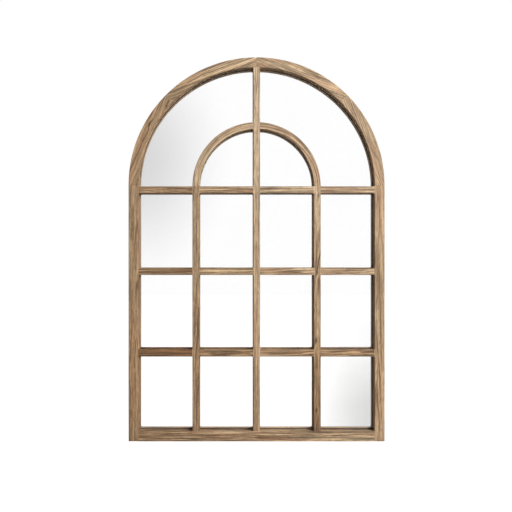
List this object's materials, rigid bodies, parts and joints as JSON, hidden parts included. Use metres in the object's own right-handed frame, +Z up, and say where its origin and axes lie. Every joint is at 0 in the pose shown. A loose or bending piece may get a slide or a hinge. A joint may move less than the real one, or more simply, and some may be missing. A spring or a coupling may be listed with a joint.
{
  "type": "arched window mirror",
  "caption": "Wall mirror shaped like an arched window: wooden frame with a half-round head, flush glazing bars over one mirror sheet, and swinging D-ring hangers.",
  "frame": {"origin": "on the wall plane, midway between the two hooks that the D-rings hang on", "axes": "+Z up, the mirror's front faces -Y, +X to the right for someone who stands in front of it; the wall plane is y = 0"},
  "size_m": [0.8, 0.038, 1.2],
  "materials": {
    "frame_wood": "brushed, pale weathered brown, open straight grain",
    "bar_wood": "brushed, pale weathered brown, open straight grain",
    "hidden_wood": "planed, unfinished",
    "mirror_glass": "polished, silvered behind",
    "fibreboard": "raw fibreboard",
    "zinc_steel": "bright zinc plated",
    "bumper_rubber": "matt, soft"
  },
  "bodies": {
    "frame": {"left_stile": "frame_wood", "right_stile": "frame_wood", "bottom_rail": "frame_wood", "arch_right_lower": "frame_wood", "arch_right_upper": "frame_wood", "arch_left_upper": "frame_wood", "arch_left_lower": "frame_wood", "arch_spline_right_foot": "hidden_wood", "arch_spline_right_shoulder": "hidden_wood", "arch_spline_top": "hidden_wood", "arch_spline_left_shoulder": "hidden_wood", "arch_spline_left_foot": "hidden_wood", "rail_dowel_left_lower": "hidden_wood", "rail_dowel_left_upper": "hidden_wood", "rail_dowel_right_lower": "hidden_wood", "rail_dowel_right_upper": "hidden_wood", "left_muntin": "bar_wood", "centre_muntin": "bar_wood", "right_muntin": "bar_wood", "lower_bar_1": "bar_wood", "lower_bar_2": "bar_wood", "lower_bar_3": "bar_wood", "lower_bar_4": "bar_wood", "middle_bar_1": "bar_wood", "middle_bar_2": "bar_wood", "middle_bar_3": "bar_wood", "middle_bar_4": "bar_wood", "spring_bar_1": "bar_wood", "spring_bar_2": "bar_wood", "spring_bar_3": "bar_wood", "spring_bar_4": "bar_wood", "inner_arch_left": "bar_wood", "inner_arch_right": "bar_wood", "mirror_glass": "mirror_glass", "backing_board": "fibreboard", "board_screw_1": "zinc_steel", "board_screw_2": "zinc_steel", "board_screw_3": "zinc_steel", "board_screw_4": "zinc_steel", "board_screw_5": "zinc_steel", "board_screw_6": "zinc_steel", "board_screw_7": "zinc_steel", "board_screw_8": "zinc_steel", "board_screw_9": "zinc_steel", "board_screw_10": "zinc_steel", "board_screw_11": "zinc_steel", "board_screw_12": "zinc_steel", "hanger_strap_left": "zinc_steel", "hanger_strap_right": "zinc_steel", "hanger_screw_left_1": "zinc_steel", "hanger_screw_left_2": "zinc_steel", "hanger_screw_right_1": "zinc_steel", "hanger_screw_right_2": "zinc_steel", "bumper_low_left": "bumper_rubber", "bumper_low_right": "bumper_rubber", "bumper_high_left": "bumper_rubber", "bumper_high_right": "bumper_rubber"},
    "ring_left": {"hanger_ring_left": "zinc_steel"},
    "ring_right": {"hanger_ring_right": "zinc_steel"}
  },
  "joints": [
    {"name": "ring_swing_left", "type": "hinge", "parent": "frame", "child": "ring_left", "pos_m": [-0.392, -0.0033, -0.015], "axis": [1, 0, 0], "range_deg": [0, 180]},
    {"name": "ring_swing_right", "type": "hinge", "parent": "frame", "child": "ring_right", "pos_m": [0.392, -0.0033, -0.015], "axis": [1, 0, 0], "range_deg": [0, 180]}
  ]
}
